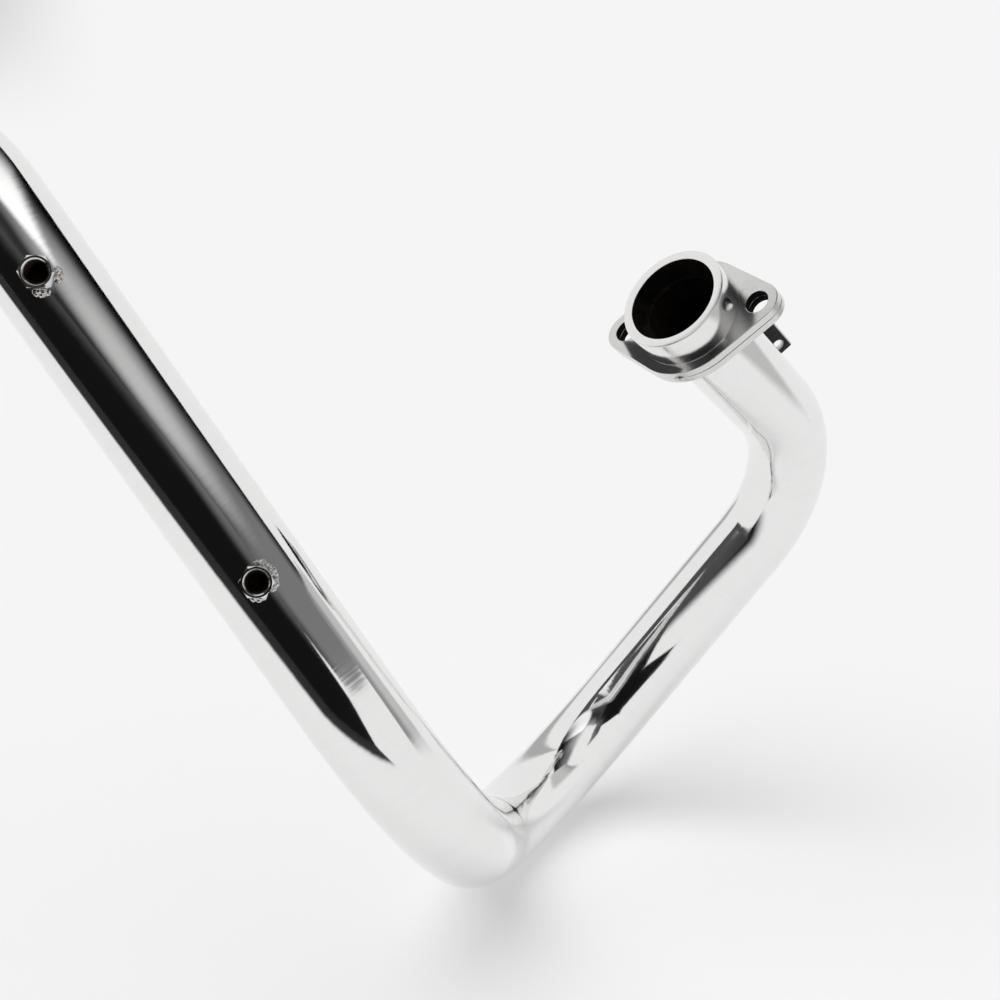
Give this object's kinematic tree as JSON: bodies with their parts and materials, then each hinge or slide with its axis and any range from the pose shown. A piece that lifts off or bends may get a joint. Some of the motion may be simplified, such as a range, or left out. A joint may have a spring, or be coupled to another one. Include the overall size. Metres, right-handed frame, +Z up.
{
  "type": "motorcycle exhaust header",
  "caption": "Bent, mirror-polished stainless exhaust header with a two-stud head flange, port collar, threaded shield bosses and a small tab.",
  "frame": {"origin": "centre of the flange's head-side face, on the port's axis", "axes": "+Z up as pictured, -X along the outlet's flow, +Y away from the side that carries the threaded bosses"},
  "size_m": [0.3823, 0.1975, 0.3065],
  "materials": {
    "polished_stainless": "mirror polished, with fine polishing lines around the pipe",
    "turned_steel": "turned and buffed, bright",
    "satin_plate": "satin, ground face with bright rounded edges",
    "scaled_plate": "left unpolished, with dark mill scale and a pale edge",
    "weld_metal": "bright lumps with light heat tint",
    "boss_steel": "machined, bright edges"
  },
  "bodies": {
    "root": {"header_pipe": "polished_stainless", "port_collar": "turned_steel", "front_flange_plate": "satin_plate", "rear_flange_plate": "satin_plate", "flange_tack_welds": "weld_metal", "flange_seam_weld": "weld_metal", "upper_boss": "boss_steel", "lower_boss": "boss_steel", "upper_boss_welds": "weld_metal", "lower_boss_welds": "weld_metal", "bracket_tab": "scaled_plate", "tab_weld": "weld_metal"}
  },
  "joints": []
}
